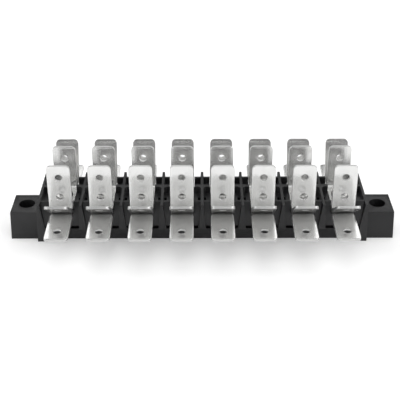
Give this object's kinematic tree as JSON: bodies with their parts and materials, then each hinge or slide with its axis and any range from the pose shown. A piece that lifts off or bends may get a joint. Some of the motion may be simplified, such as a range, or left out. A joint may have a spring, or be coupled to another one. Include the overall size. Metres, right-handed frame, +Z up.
{
  "type": "barrier terminal strip",
  "caption": "Black moulded barrier terminal strip with drilled fixing ears; each pole carries riveted stacked push-on tabs, upright, angled and level, front and back.",
  "frame": {"origin": "centre of the strip, on the underside that lies on the panel", "axes": "+X along the row of poles, -Y towards the side of the low angled tabs, +Z up from the panel"},
  "size_m": [0.1072, 0.042, 0.0245],
  "materials": {
    "housing": "fine satin of a glass-filled nylon moulding",
    "terminals": "bright tin plate on rolled sheet",
    "rivets": "satin nickel plate"
  },
  "bodies": {
    "root": {"housing": "housing", "rivets": "rivets", "upright_terminal_1": "terminals", "upright_terminal_2": "terminals", "upright_terminal_3": "terminals", "upright_terminal_4": "terminals", "upright_terminal_5": "terminals", "upright_terminal_6": "terminals", "upright_terminal_7": "terminals", "upright_terminal_8": "terminals", "angled_terminal_1": "terminals", "angled_terminal_2": "terminals", "angled_terminal_3": "terminals", "angled_terminal_4": "terminals", "angled_terminal_5": "terminals", "angled_terminal_6": "terminals", "angled_terminal_7": "terminals", "angled_terminal_8": "terminals", "level_terminal_1": "terminals", "level_terminal_2": "terminals", "level_terminal_3": "terminals", "level_terminal_4": "terminals", "level_terminal_5": "terminals", "level_terminal_6": "terminals", "level_terminal_7": "terminals", "level_terminal_8": "terminals"}
  },
  "joints": []
}
